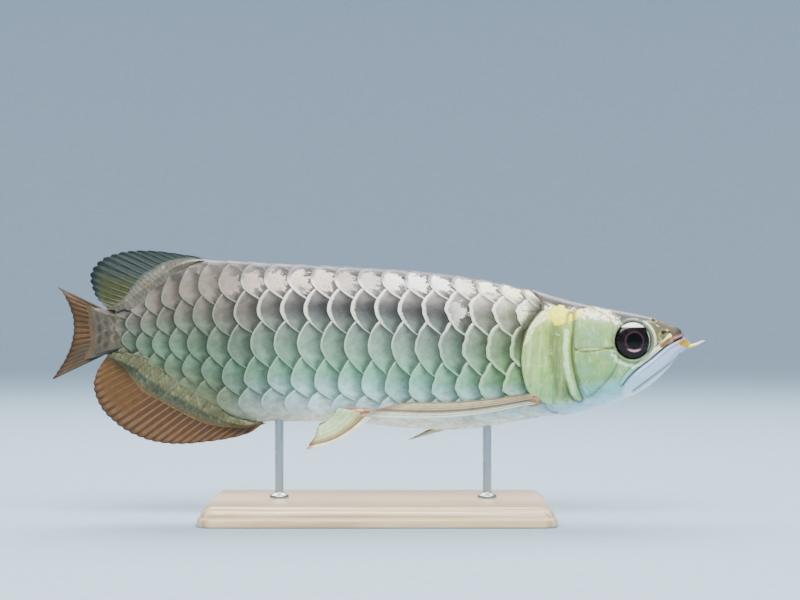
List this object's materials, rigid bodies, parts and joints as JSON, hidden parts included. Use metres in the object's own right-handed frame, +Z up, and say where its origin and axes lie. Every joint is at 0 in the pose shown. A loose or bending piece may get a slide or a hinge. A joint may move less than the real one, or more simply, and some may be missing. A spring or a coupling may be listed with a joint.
{
  "type": "asian arowana, still life-size model",
  "caption": "Young Asian arowana in steady swimming pose, life size, held by two rods on a flat display stand.",
  "frame": {"origin": "centre of the fish's length and of the stand's width, on the floor under the stand", "axes": "+X towards the snout, +Z up, +Y towards the fish's left flank"},
  "size_m": [0.3952, 0.11, 0.1622],
  "materials": {
    "skin": "satin, like wet fish skin",
    "scales": "gloss with a pearly sheen",
    "fins": "satin, slightly translucent at the edges",
    "eyes": "high gloss",
    "base": "satin varnish",
    "rods": "brushed"
  },
  "bodies": {
    "root": {"head": "skin", "lower_jaw": "skin", "maxilla_right": "skin", "maxilla_left": "skin", "gill_cover_right": "skin", "gill_cover_left": "skin", "barbel_right": "skin", "barbel_left": "skin", "eye_right": "eyes", "eye_left": "eyes", "trunk_front": "scales", "trunk_middle": "scales", "trunk_rear": "scales", "tail_stalk": "scales", "dorsal_fin": "fins", "anal_fin": "fins", "caudal_fin": "fins", "pectoral_fin_right": "fins", "pectoral_fin_left": "fins", "pelvic_fin_right": "fins", "pelvic_fin_left": "fins", "stand_base": "base", "stand_rod_front": "rods", "stand_rod_rear": "rods"}
  },
  "joints": []
}
